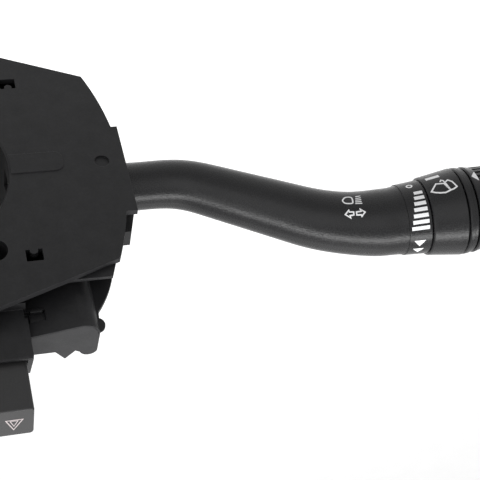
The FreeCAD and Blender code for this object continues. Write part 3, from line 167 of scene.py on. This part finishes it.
def plastic(name, dark, light, rough, grain, grain_mm, edge_mm=0.25, patch=60, sheen=0.5, wear_and_highlight=0.5,
            gloss_spread=0.06, bore=False):
    """Moulded plastic: blotchy tone, uneven gloss, fine grain in relief, softened edges that are paler from slight
    wear and from painted highlight, and optionally painted shade inside the bore.
    """
    material, nodes, links, shader = new_material(name)
    blotch = noise(nodes, links, patch, 4)
    fine = noise(nodes, links, 1.0 / (grain_mm * MM), 2, 0.6)
    speck = noise(nodes, links, SPECKS_PER_GRAIN / (grain_mm * MM), 5, 0.7)
    rounded = nodes.new("ShaderNodeBevel")
    rounded.samples = BEVEL_SAMPLES
    rounded.inputs["Radius"].default_value = edge_mm * MM
    tone = calculated(nodes, links, "MULTIPLY_ADD", spread(nodes, links, speck, 0, 1), SPECK_TONE,
                      spread(nodes, links, blotch, 0, BLOTCH_TONE))
    # painted highlight and slight wear: edges are made paler than the light tone
    rubbed_and_highlit = calculated(nodes, links, "MULTIPLY", edge_share(nodes, links, rounded.outputs["Normal"]),
                        spread(nodes, links, blotch, RUB_HIGHLIGHT_LEAST * wear_and_highlight, wear_and_highlight))
    pale = tuple(min(1.0, RUB_HIGHLIGHT_GAIN * part + RUB_HIGHLIGHT_LIFT) for part in light)
    colour = mixed(nodes, links, rubbed_and_highlit, mixed(nodes, links, tone, dark, light), pale)
    gloss = spread(nodes, links, fine, rough - gloss_spread, rough + gloss_spread)
    # painted shade inside the bore: its wall is coloured near black, and is also made dull
    if bore:
        inside = bore_shade_and_dull_share(nodes, links)
        colour = mixed(nodes, links, inside, colour, BORE_SHADE_COLOUR)
        dull = calculated(nodes, links, "MULTIPLY", inside, BORE_ROUGHNESS)
        gloss = calculated(nodes, links, "MAXIMUM", gloss, dull)
    links.new(colour, shader.inputs["Base Color"])
    links.new(gloss, shader.inputs["Roughness"])
    shader.inputs["Specular IOR Level"].default_value = sheen
    relief(nodes, links, shader, fine, grain, GRAIN_DEPTH_MM, under=rounded.outputs["Normal"])
    return material


def metal(name, dark, light, rough, lines_per_metre):
    """Drawn or ground metal with a slight tarnish."""
    material, nodes, links, shader = new_material(name)
    stain = noise(nodes, links, 150, 4)
    lines = noise(nodes, links, lines_per_metre, 3)
    tone = spread(nodes, links, stain, 0, 1)
    links.new(mixed(nodes, links, tone, dark, light), shader.inputs["Base Color"])
    links.new(spread(nodes, links, lines, rough - 0.08, rough + 0.1), shader.inputs["Roughness"])
    shader.inputs["Metallic"].default_value = 1.0
    relief(nodes, links, shader, lines, strength=0.25, depth_mm=0.02)
    return material


def ink(name, dark, light):
    """Pad-printed paint: slightly uneven cover over the plastic's grain."""
    material, nodes, links, shader = new_material(name)
    cover = noise(nodes, links, 3500, 3, 0.6)
    tone = spread(nodes, links, cover, 0, 1)
    links.new(mixed(nodes, links, tone, dark, light), shader.inputs["Base Color"])
    links.new(spread(nodes, links, cover, 0.5, 0.65), shader.inputs["Roughness"])
    shader.inputs["Specular IOR Level"].default_value = 0.3
    relief(nodes, links, shader, cover, strength=0.2, depth_mm=0.03)
    return material


MATERIALS = {
    # the casing's strong edge paling is partly wear and partly painted highlight
    "casing_plastic": plastic("casing_plastic", (0.007, 0.007, 0.0077), (0.0155, 0.0155, 0.0165), rough=0.5,
                              grain=0.35, grain_mm=0.28, patch=220, sheen=0.19, wear_and_highlight=0.9, bore=True),
    "lever_plastic": plastic("lever_plastic", (0.007, 0.007, 0.0076), (0.0135, 0.0135, 0.0142), rough=0.27,
                             grain=1.0, grain_mm=0.45, sheen=0.22, gloss_spread=0.12),
    "button_plastic": plastic("button_plastic", (0.02, 0.0198, 0.0203), (0.03, 0.0297, 0.0303), rough=0.4,
                              grain=0.25, grain_mm=0.2, sheen=0.24),
    "grey_plastic": plastic("grey_plastic", (0.0105, 0.0105, 0.0113), (0.024, 0.024, 0.025), rough=0.5,
                            grain=0.3, grain_mm=0.3, patch=200, sheen=0.22),
    "nylon": plastic("nylon", (0.55, 0.53, 0.47), (0.68, 0.66, 0.6), rough=0.45,
                     grain=0.2, grain_mm=0.3, wear_and_highlight=0.1),
    "contact_brass": metal("contact_brass", (0.5, 0.36, 0.15), (0.72, 0.55, 0.27), rough=0.32,
                           lines_per_metre=900),
    "pin_steel": metal("pin_steel", (0.42, 0.42, 0.44), (0.6, 0.6, 0.62), rough=0.3, lines_per_metre=1200),
    "board": plastic("board", (0.2, 0.11, 0.045), (0.3, 0.18, 0.08), rough=0.45,
                     grain=0.3, grain_mm=0.4, wear_and_highlight=0.1),
    "wire_jacket": plastic("wire_jacket", (0.02, 0.02, 0.02), (0.035, 0.035, 0.035), rough=0.5,
                           grain=0.2, grain_mm=0.3),
}
WHITE_INK = ink("white_ink", (0.72, 0.72, 0.73), (0.86, 0.86, 0.87))
PALE_INK = ink("pale_ink", (0.33, 0.29, 0.29), (0.46, 0.41, 0.41))

for entry in frame["record"]["subparts"]:
    mesh = NODES[entry["node"]].data
    mesh.materials.clear()
    mesh.materials.append(MATERIALS[entry["material_slot"]])
    for face in mesh.polygons:
        face.material_index = 0


# Printed signs: shapes are drawn flat in millimetres, cut into small faces and laid on the surface

PRINT_LIFT = 0.035  # the film's face is this far above the surface, and its foot this far below
PRINT_ROOT = 0.02
PRINT_STEP = 0.5  # the longest edge, so that the film follows a curve
PRINT_ROUNDS = 6
PRINT_WELD = 0.0001
RAY_START = 6.0
MITRE_LEAST = 0.5
CORNER_CUT = 0.22


def ribbon(points, width, closed=False):
    """Four-sided pieces of a stroke of even width along points."""
    flat = [Vector(point) for point in points]
    count = len(flat)
    sides = []
    for index, point in enumerate(flat):
        before = flat[index - 1] if closed or index else None
        after = flat[(index + 1) % count] if closed or index < count - 1 else None
        ahead = (after - point).normalized() if after else (point - before).normalized()
        behind = (point - before).normalized() if before else ahead
        bisector = (ahead + behind).normalized()
        reach = width / 2 / max(MITRE_LEAST, bisector.dot(ahead))
        sideways = Vector((-bisector.y, bisector.x)) * reach
        sides.append((point + sideways, point - sideways))
    last = count if closed else count - 1
    pairs = [(sides[index], sides[(index + 1) % count]) for index in range(last)]
    return [[near[0], near[1], far[1], far[0]] for near, far in pairs]


def smoothed(points, passes=2):
    """A closed outline with its corners cut off again and again."""
    for _ in range(passes):
        points = [(one[0] * (1 - share) + two[0] * share, one[1] * (1 - share) + two[1] * share)
                  for one, two in zip(points, points[1:] + points[:1])
                  for share in (CORNER_CUT, 1 - CORNER_CUT)]
    return points


def cut_small(polygons):
    """One flat mesh of the polygons, facing +Z, with no edge much longer than the print step."""
    shape = bmesh.new()
    for polygon in polygons:
        shape.faces.new([shape.verts.new((point[0], point[1], 0)) for point in polygon])
    bmesh.ops.remove_doubles(shape, verts=shape.verts, dist=PRINT_WELD)
    for _ in range(PRINT_ROUNDS):
        long_edges = [edge for edge in shape.edges if edge.calc_length() > PRINT_STEP]
        if not long_edges:
            break
        bmesh.ops.subdivide_edges(shape, edges=long_edges, cuts=1, use_grid_fill=True)
        bmesh.ops.triangulate(shape, faces=[face for face in shape.faces if len(face.verts) > 4])
    shape.normal_update()
    bmesh.ops.reverse_faces(shape, faces=[face for face in shape.faces if face.normal.z < 0])
    shape.verts.index_update()
    return shape


def laid(shape, name, node, lay):
    """The face and foot points of a film, found along the rays that lay gives for the flat points."""
    surface = NODES[node].data
    tree = BVHTree.FromPolygons([vertex.co for vertex in surface.vertices],
                                [face.vertices[:] for face in surface.polygons])
    top, foot = [], []
    for vertex in shape.verts:
        start, direction = lay(vertex.co.x, vertex.co.y)
        place = tree.ray_cast(start, direction)[0]
        if place is None:
            raise ValueError(f"{name} has a point beside {node}")
        top.append(place - direction * PRINT_LIFT * MM)
        foot.append(place + direction * PRINT_ROOT * MM)
    return top, foot


def printed(name, body, node, material, polygons, lay):
    """One sign: a thin closed film of paint on a node."""
    shape = cut_small(polygons)
    top, foot = laid(shape, name, node, lay)
    count = len(top)
    faces = [[vertex.index for vertex in face.verts] for face in shape.faces]
    faces += [[count + vertex.index for vertex in reversed(face.verts)] for face in shape.faces]
    for edge in shape.edges:
        if edge.is_boundary:
            loop = edge.link_loops[0]
            one, two = loop.vert.index, loop.link_loop_next.vert.index
            faces.append([two, one, count + one, count + two])
    shape.free()
    data = bpy.data.meshes.new(name)
    data.from_pydata(top + foot, [], faces)
    data.materials.append(material)
    sign = bpy.data.objects.new(name, data)
    bpy.context.scene.collection.objects.link(sign)
    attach(sign, body)


def print_signs(body, node, material, lay, **signs):
    """Print signs, each given as its piece's name and its polygons, in the order they are named."""
    for name, polygons in signs.items():
        printed(name, body, node, material, polygons, lay)


def on_plane(origin, across, upward):
    """Lay flat shapes along the normal of a plane; origin in millimetres, seen from across x upward."""
    across = Vector(across).normalized()
    upward = Vector(upward).normalized()
    outward = across.cross(upward).normalized()
    middle = Vector(origin) * MM + outward * RAY_START * MM

    def lay(x, y):
        return middle + across * x * MM + upward * y * MM, -outward
    return lay


# Signs on the collar, the ring and the knob, by degrees up from the driver's side and station along the axis

KNOB_START = Vector(JOINTS["ring_turn"]["pos_m"])
KNOB_AXIS = Vector(JOINTS["ring_turn"]["axis"]).normalized()
KNOB_UP = Vector((KNOB_AXIS.z, 0, -KNOB_AXIS.x)).normalized()
KNOB_FRONT = KNOB_UP.cross(KNOB_AXIS).normalized()
COLLAR_RADIUS, RING_RADIUS, GRIP_RADIUS = 12.1, 13.9, 14.3


def around_knob(radius):
    """Wrap flat shapes round the knob: x is millimetres of arc up from the driver's side, y the station."""
    def lay(x, y):
        angle = x / radius
        outward = KNOB_FRONT * math.cos(angle) + KNOB_UP * math.sin(angle)
        return KNOB_START + KNOB_AXIS * y * MM + outward * (radius + RAY_START) * MM, -outward
    return lay


def wrapped(radius, *points):
    """Points given by degrees and station, as millimetres of arc and station."""
    return [(math.radians(angle) * radius, station) for angle, station in points]


def zero_sign():
    """A figure 0: an upright ring, slightly higher than wide."""
    centre = wrapped(COLLAR_RADIUS, (-22.8, 3.5))[0]
    half_width, half_height, stroke, sides = 0.81, 0.88, 0.55, 20
    turns = [math.tau * step / sides for step in range(sides)]
    points = [(centre[0] + half_width * math.cos(turn), centre[1] + half_height * math.sin(turn))
              for turn in turns]
    return ribbon(points, stroke, closed=True)


def speed_bars():
    """Bars that begin further from the ring with each step of speed and end on one line."""
    first, pitch, half, count = -3.5, 9.7, 2.95, 7  # degrees
    foot, growth, head = 3.7, 0.507, 6.62  # stations
    bars = []
    for number in range(count):
        middle = first + pitch * number
        start = foot - growth * number
        bars.append(wrapped(COLLAR_RADIUS, (middle - half, start), (middle + half, start),
                            (middle + half, head), (middle - half, head)))
    return bars


SCALE_MARKS = [wrapped(COLLAR_RADIUS, (76.3, 1.46), (76.3, 5.44), (88.6, 3.45)),
               wrapped(COLLAR_RADIUS, (94.8, 1.49), (94.8, 5.24), (107, 3.5))]
POINTER = [wrapped(RING_RADIUS, (-29.3, 9.4), (-22.7, 9.4), (-22.7, 14.1), (-29.3, 14.1))]
FAN = wrapped(RING_RADIUS, (2.6, 9.18), (-9.4, 11.59), (-6.7, 14.09), (6.7, 15.35), (8.7, 13.6), (7.6, 12.0),
              (5.6, 10.47))
BLADE = wrapped(RING_RADIUS, (-7.8, 14.52), (-11.3, 15.76), (-6.3, 16.85), (3.6, 17.69), (6.1, 16.3),
                (6.3, 15.29))
PIVOT = wrapped(RING_RADIUS, (-11.2, 13.18), (-14.4, 13.74), (-12.4, 14.32), (-7.8, 14.52))
KNOB_MARK = [wrapped(GRIP_RADIUS, (-9.5, 23.9), (-21.9, 26.0), (-1.8, 26.0))]

print_signs("lever", "scale_collar", WHITE_INK, around_knob(COLLAR_RADIUS),
            scale_zero=zero_sign(), scale_bars=speed_bars(), scale_marks=SCALE_MARKS)
print_signs("ring", "wiper_ring", WHITE_INK, around_knob(RING_RADIUS),
            ring_pointer=POINTER, ring_wiper_fan=ribbon(FAN, 0.54, closed=True),
            ring_wiper_blade=ribbon(BLADE, 0.5, closed=True), ring_wiper_pivot=ribbon(PIVOT, 0.45))
print_signs("knob", "end_knob", WHITE_INK, around_knob(GRIP_RADIUS), knob_mark=KNOB_MARK)


# Signs on the lever and the hazard cap

LEVER_FACE = on_plane((-137.752, -31.806, 27.722), (-0.97098, -0.06144, 0.23114),
                      (-0.21893, -0.16076, -0.96241))
LAMP = [(-3.54, 2.36), (-2.66, 3.69), (-1.95, 4.09), (-0.48, 4.08), (-0.16, 3.17), (-0.1, 2.04),
        (-0.16, 1.18), (-2.38, 1.09), (-3.08, 1.48)]
BEAMS = [((0.95, 4.31), (2.61, 4.8)), ((0.85, 3.43), (2.65, 3.79)), ((0.77, 2.63), (2.71, 2.87)),
         ((0.7, 1.87), (2.76, 2.02)), ((0.65, 1.19), (2.93, 1.3))]
LEFT_ARROW = [(-2.72, -2.88), (-1.61, -1.42), (-1.42, -2.0), (-0.03, -1.95), (0.06, -2.98), (-1.2, -3.18),
              (-0.93, -3.92)]
RIGHT_ARROW = [(0.91, -1.93), (2.47, -1.68), (2.07, -0.87), (3.67, -1.93), (2.69, -3.35), (2.49, -2.87),
               (1.03, -2.96)]
CAP_FACE = on_plane((-21.2, -19.1, 83.4), (-1, 0, 0), (0, -1, 0))
OUTER_TRIANGLE = [(-2.23, 1.86), (2.48, 1.85), (-0.02, -3.28)]
INNER_TRIANGLE = [(-1.02, 1.37), (1.13, 1.34), (0.02, -1.42)]

print_signs("lever", "lever_tube", WHITE_INK, LEVER_FACE,
            lever_beam_lamp=ribbon(smoothed(LAMP), 0.46, closed=True),
            lever_beam_rays=[quad for beam in BEAMS for quad in ribbon(beam, 0.38)],
            lever_arrow_left=ribbon(LEFT_ARROW, 0.45, closed=True),
            lever_arrow_right=ribbon(RIGHT_ARROW, 0.45, closed=True))
print_signs("hazard", "hazard_button", PALE_INK, CAP_FACE,
            hazard_sign_outer=ribbon(OUTER_TRIANGLE, 0.34, closed=True),
            hazard_sign_inner=ribbon(INNER_TRIANGLE, 0.28, closed=True))


# Moulded details of the casing

BEAD_SIDES = 16
BALL_ANGLES = (0, 30, 55, 80)  # degrees round a bead's ball end at which it has a ring of points
BLOCK_SEGMENTS = 3


def finished(name, shape, body, slot):
    """Turn a bmesh into a piece that rides on a body and has the finish of a slot."""
    bmesh.ops.recalc_face_normals(shape, faces=shape.faces)
    data = bpy.data.meshes.new(name)
    shape.to_mesh(data)
    shape.free()
    for face in data.polygons:
        face.use_smooth = True
    data.materials.append(MATERIALS[slot])
    piece = bpy.data.objects.new(name, data)
    bpy.context.scene.collection.objects.link(piece)
    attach(piece, body)
    return piece


def tube(shape, stations, sides):
    """Skin rings of points, each (middle, one side, other side, radius), and close both ends."""
    rings = [[shape.verts.new(middle + (one * math.cos(turn) + two * math.sin(turn)) * radius)
              for turn in [math.tau * part / sides for part in range(sides)]]
             for middle, one, two, radius in stations]
    for near, far in zip(rings, rings[1:]):
        for part in range(sides):
            after = (part + 1) % sides
            shape.faces.new((near[part], far[part], far[after], near[after]))
    shape.faces.new(rings[0])
    shape.faces.new(rings[-1][::-1])


def bead(name, start, end, radius):
    """A round moulded bead with ball ends, along an edge of the casing."""
    start, end = Vector(start) * MM, Vector(end) * MM
    axis = (end - start).normalized()
    one = axis.orthogonal().normalized()
    two = axis.cross(one)
    stations = []
    for middle, side, angles in ((start, -1, BALL_ANGLES[::-1]), (end, 1, BALL_ANGLES)):
        for angle in map(math.radians, angles):
            stations.append((middle + axis * side * math.sin(angle) * radius * MM, one, two,
                             math.cos(angle) * radius * MM))
    shape = bmesh.new()
    tube(shape, stations, BEAD_SIDES)
    finished(name, shape, "housing", "casing_plastic")


def block(name, low, high, edge):
    """A moulded block between two corners with rounded edges."""
    low, high = Vector(low) * MM, Vector(high) * MM
    shape = bmesh.new()
    bmesh.ops.create_cube(shape, size=1)
    for vertex in shape.verts:
        vertex.co = Vector([a + (b - a) * (part + 0.5) for a, b, part in zip(low, high, vertex.co)])
    bmesh.ops.bevel(shape, geom=shape.edges[:], offset=edge * MM, segments=BLOCK_SEGMENTS, profile=0.5,
                    affect="EDGES")
    finished(name, shape, "housing", "casing_plastic")


bead("tower_lip", (-28.0, -27.0, 67.3), (-14.4, -27.0, 67.3), radius=0.78)
bead("flange_lip", (-41.0, -31.75, 45.3), (-54.4, -31.75, 45.3), radius=0.36)
block("latch_ledge", (-33.7, -26.5, 50.3), (-29.9, -23.5, 51.6), edge=0.25)
block("latch_cover", (-34.9, -25.1, 51.0), (-29.6, -23.6, 54.2), edge=0.25)
block("latch_shoulder", (-35.4, -24.9, 50.2), (-34.0, -21.5, 54.6), edge=0.2)


# Wire coil springs that replace the spring nodes and ride on their bodies

WIRE_SIDES = 8
STEPS_PER_TURN = 20
CLOSED_TURNS = 0.75  # at each end, where the coil lies nearly flat
CLOSED_PITCH = 0.8  # wire diameters that such an end rises


def coil(name, body, node, foot, head, radius, wire, turns):
    """A wire coil from foot to head with closed ends."""
    foot, head = Vector(foot) * MM, Vector(head) * MM
    axis = (head - foot).normalized()
    side = axis.orthogonal().normalized()
    other = axis.cross(side)
    length = (head - foot).length - wire * MM
    steps = round(turns * STEPS_PER_TURN)
    dead = CLOSED_TURNS / turns
    lift = wire * CLOSED_PITCH * MM / length
    stations = []
    for share in [step / steps for step in range(steps + 1)]:
        if share < dead:
            height = lift * share / dead
        elif share > 1 - dead:
            height = 1 - lift * (1 - share) / dead
        else:
            height = lift + (1 - 2 * lift) * (share - dead) / (1 - 2 * dead)
        angle = math.tau * turns * share
        outward = side * math.cos(angle) + other * math.sin(angle)
        middle = foot + axis * (wire / 2 * MM + height * length) + outward * radius * MM
        stations.append((middle, outward, axis, wire / 2 * MM))
    shape = bmesh.new()
    tube(shape, stations, WIRE_SIDES)
    spring = finished(name, shape, body, "pin_steel")
    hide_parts(node)
    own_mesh(spring)


coil("hazard_coil", "hazard", "hazard_spring", foot=(-21.2, -19.1, 52.0), head=(-21.2, -19.1, 60.0),
     radius=2.5, wire=0.6, turns=6)
coil("detent_coil", "yoke", "detent_spring", foot=(-42.5, -21.0, -16.4), head=(-42.5, -21.0, -6.9),
     radius=1.25, wire=0.4, turns=7)


# Studio: metres and watts

FLOOR_SIZE, FLOOR_HEIGHT = 8, -0.42
FLOOR_GLOW = 0.4  # what lifts the pale floor to white where it is looked at
WORLD_LIGHT, WORLD_SEEN = 0.52, 1
LAMPS = (  # name, size, energy, place, target
    ("softbox_high", (0.95, 0.13), 5.4, (-0.06, 0.1, 0.62), (-0.07, 0, 0)),
    ("softbox_front", (0.8, 0.8), 1.6, (0.1, -0.8, 0.6), (-0.08, 0, 0)),
    ("softbox_side", (0.3, 0.3), 0.8, (0.38, -0.14, 0.45), (-0.04, 0, 0.03)),
    ("softbox_back", (0.5, 0.4), 0.55, (-0.1, 0.6, 0.5), (-0.05, 0, 0.03)),
)
VIEW_RIGHT = Vector((-0.958014, -0.151745, 0.243276))
VIEW_DOWN = Vector((0.096332, 0.628804, 0.771573))
VIEW_AWAY = Vector((-0.270055, 0.762613, -0.587785))
VIEW_PLACE = Vector((0.003867, -0.316600, 0.256239))
LENS_MM, SENSOR_MM = 90, 36
CLIP_START, CLIP_END = 0.01, 50


def looked_at(nodes, links):
    """1 on rays from the camera and on reflected and refracted rays, 0 on the rays that light things."""
    path = nodes.new("ShaderNodeLightPath")
    bent = calculated(nodes, links, "MAXIMUM", path.outputs["Is Glossy Ray"],
                      path.outputs["Is Transmission Ray"])
    return calculated(nodes, links, "MAXIMUM", path.outputs["Is Camera Ray"], bent)


def soft_floor():
    """A pale sheet under the switch, plain white to the camera but for the switch's soft shadow."""
    bpy.ops.mesh.primitive_plane_add(size=FLOOR_SIZE, location=(0, 0, FLOOR_HEIGHT))
    floor = bpy.context.object
    floor.name = "floor"
    material, nodes, links, shader = new_material("floor_paper")
    fibre = spread(nodes, links, noise(nodes, links, 40, 3), 0, 1)
    links.new(mixed(nodes, links, fibre, (0.9, 0.9, 0.9), (0.94, 0.94, 0.94)), shader.inputs["Base Color"])
    shader.inputs["Roughness"].default_value = 0.8
    shader.inputs["Emission Color"].default_value = (1, 1, 1, 1)
    glow = calculated(nodes, links, "MULTIPLY", looked_at(nodes, links), FLOOR_GLOW)
    links.new(glow, shader.inputs["Emission Strength"])
    floor.data.materials.append(material)


def world_light():
    """Even light all round; white where the camera or a reflection looks past the floor."""
    world = bpy.data.worlds.new("studio")
    world.use_nodes = True
    nodes = world.node_tree.nodes
    links = world.node_tree.links
    nodes.clear()
    output = nodes.new("ShaderNodeOutputWorld")
    lit = nodes.new("ShaderNodeBackground")
    lit.inputs["Color"].default_value = (1, 1, 1, 1)
    strength = spread(nodes, links, looked_at(nodes, links), WORLD_LIGHT, WORLD_SEEN, 0, 1)
    links.new(strength, lit.inputs["Strength"])
    links.new(lit.outputs["Background"], output.inputs["Surface"])
    bpy.context.scene.world = world


def lamp(name, size, energy, place, target):
    data = bpy.data.lights.new(name, "AREA")
    data.shape = "RECTANGLE"
    data.size, data.size_y = size
    data.energy = energy
    thing = bpy.data.objects.new(name, data)
    bpy.context.scene.collection.objects.link(thing)
    thing.location = place
    thing.rotation_euler = (Vector(target) - Vector(place)).to_track_quat("-Z", "Y").to_euler()


def camera():
    """The photograph's view, rolled over because the switch lies upside down in it."""
    data = bpy.data.cameras.new("photo_view")
    data.lens = LENS_MM
    data.sensor_width = SENSOR_MM
    data.clip_start = CLIP_START
    data.clip_end = CLIP_END
    thing = bpy.data.objects.new("photo_view", data)
    bpy.context.scene.collection.objects.link(thing)
    turned = Matrix((VIEW_RIGHT, -VIEW_DOWN, -VIEW_AWAY)).transposed().to_4x4()
    turned.translation = VIEW_PLACE
    thing.matrix_world = turned
    bpy.context.scene.camera = thing


soft_floor()
world_light()
for lamp_values in LAMPS:
    lamp(*lamp_values)
camera()

scene = bpy.context.scene
scene.view_settings.view_transform = "Standard"
